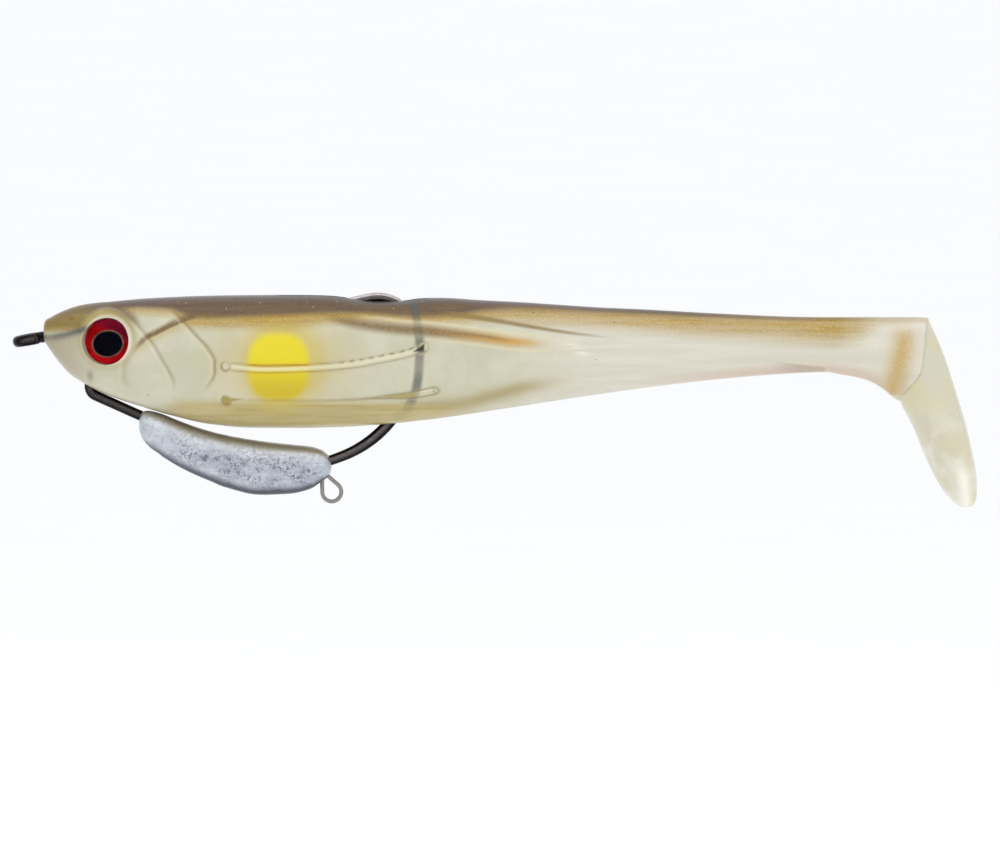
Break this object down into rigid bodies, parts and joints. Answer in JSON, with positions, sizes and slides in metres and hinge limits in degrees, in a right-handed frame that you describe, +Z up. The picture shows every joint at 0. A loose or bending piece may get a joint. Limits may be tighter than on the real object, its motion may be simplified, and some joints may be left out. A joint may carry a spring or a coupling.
{
  "type": "swimbait fishing lure",
  "caption": "Soft paddle-tail fish lure on a weighted wide-gap hook, with a line-tie eye at the nose and a wire loop on the belly weight.",
  "frame": {"origin": "centre of the hook's line-tie eye", "axes": "+X from the nose to the tail, +Z up, and the lure's left side faces -Y"},
  "size_m": [0.164, 0.019, 0.0381],
  "materials": {
    "black_nickel": "black nickel plate on a forged wire, glossy",
    "lead": "bare cast lead, pale grey and pitted",
    "stainless_wire": "bright stainless wire",
    "soft_plastic": "clear tinted soft plastic, glossy, brown back and cream flanks",
    "eye_foil": "printed foil, red iris, dark pupil and a thin gold ring",
    "clear_resin": "clear polished resin"
  },
  "bodies": {
    "head_on_hook": {"hook": "black_nickel", "belly_weight": "lead", "accessory_loop": "stainless_wire", "body_head": "soft_plastic", "eye_foil_left": "eye_foil", "eye_foil_right": "eye_foil", "eye_dome_left": "clear_resin", "eye_dome_right": "clear_resin"},
    "trunk": {"body_trunk": "soft_plastic"},
    "rear_body": {"body_rear": "soft_plastic"},
    "tail": {"body_tail": "soft_plastic"}
  },
  "joints": [
    {"name": "bite_fold", "type": "hinge", "parent": "head_on_hook", "child": "trunk", "pos_m": [0.027, 0, -0.006], "axis": [0, 1, 0], "range_deg": [0, 6], "stiffness_Nm_per_rad": 0.15, "springref_deg": -8.59},
    {"name": "body_flex", "type": "hinge", "parent": "trunk", "child": "rear_body", "pos_m": [0.09, 0, 0], "axis": [0, 0, 1], "range_deg": [-15, 15], "stiffness_Nm_per_rad": 0.02},
    {"name": "tail_kick", "type": "hinge", "parent": "rear_body", "child": "tail", "pos_m": [0.133, 0, 0], "axis": [0, 0, 1], "range_deg": [-35, 35], "stiffness_Nm_per_rad": 0.004}
  ]
}
